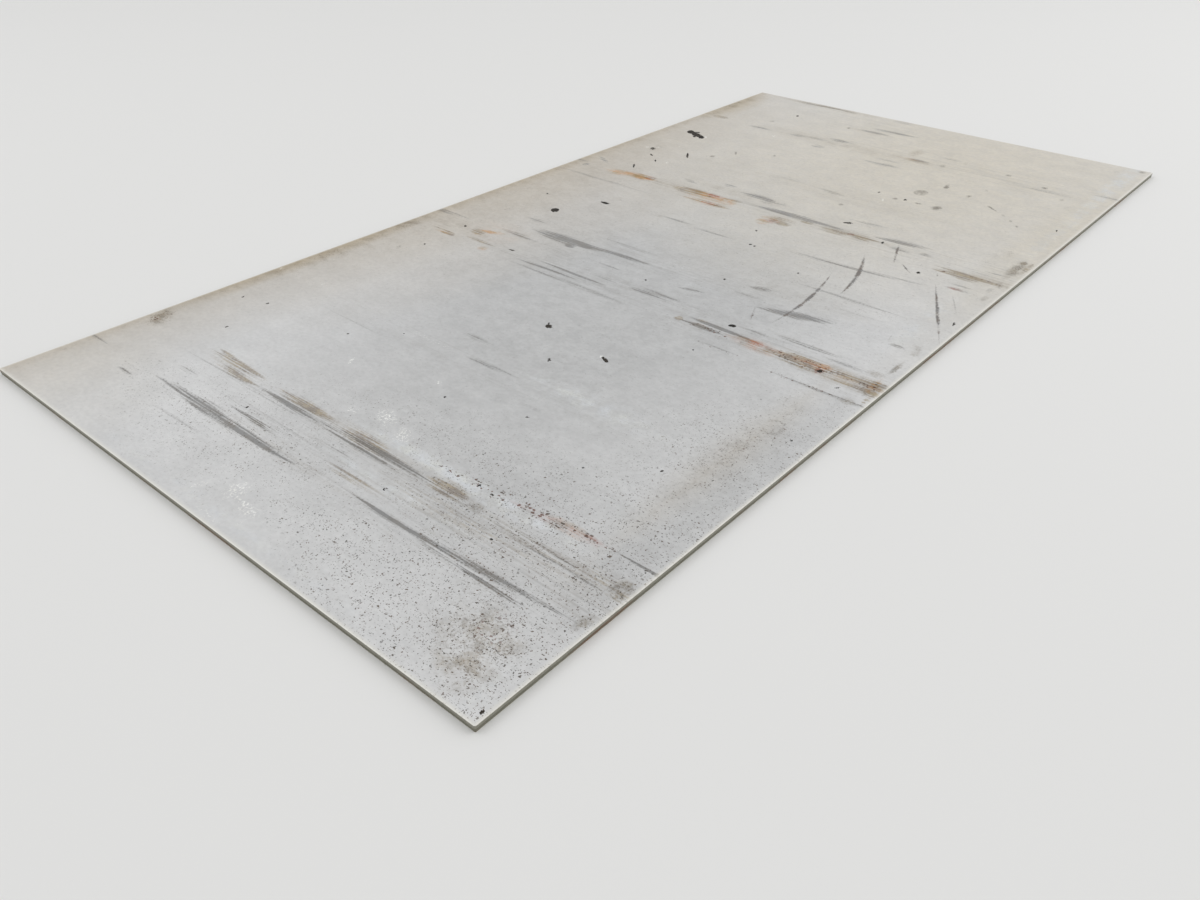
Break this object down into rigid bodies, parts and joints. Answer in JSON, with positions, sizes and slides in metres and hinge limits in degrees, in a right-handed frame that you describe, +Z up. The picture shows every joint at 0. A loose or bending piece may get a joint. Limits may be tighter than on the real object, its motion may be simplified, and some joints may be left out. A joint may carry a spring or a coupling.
{
  "type": "steel plate",
  "caption": "Flat rectangular mill plate with sheared edges, a pale pickled face marked by rust streaks, scuffs and scratches.",
  "frame": {"origin": "centre of the plate's underside", "axes": "+X along the length, +Y across the width, +Z up through the thickness, out of the marked face"},
  "size_m": [3, 1.5, 0.015],
  "materials": {
    "plate_steel": "hot-rolled and pickled, pale matt grey with a faint sheen, sheared edges darker"
  },
  "bodies": {
    "root": {"steel_plate": "plate_steel"}
  },
  "joints": []
}
